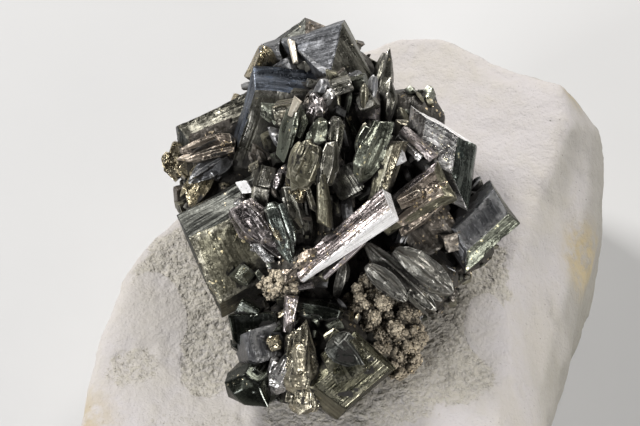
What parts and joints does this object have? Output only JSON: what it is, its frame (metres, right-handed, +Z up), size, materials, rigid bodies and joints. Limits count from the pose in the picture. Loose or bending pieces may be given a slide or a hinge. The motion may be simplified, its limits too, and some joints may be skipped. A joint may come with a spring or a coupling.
{
  "type": "marcasite specimen",
  "caption": "Cluster of dark metallic marcasite crystals, twinned tablets, bars and lens shapes with brown crust, on a broken block of white chalk that rests on its flat underside.",
  "frame": {"origin": "centre of the specimen's bounding box, on the surface that the chalk block rests on", "axes": "+Z up, square to the block's resting face; +Y towards the block's back, away from the side that the crystals face; +X to the right seen from the front"},
  "size_m": [0.1008, 0.1132, 0.0801],
  "materials": {
    "chalk": "matte, porous, fine-grained white chalk with grey specks and pale brown stains",
    "marcasite": "metallic, finely striated, dark grey-green tarnish with brassy, bluish and lilac patches",
    "brown_crust": "granular earthy brown crust of tiny sparkling grains"
  },
  "bodies": {
    "root": {"chalk_block": "chalk", "marcasite_cluster": "marcasite", "brown_crust_large": "brown_crust", "brown_crust_small": "brown_crust"}
  },
  "joints": []
}
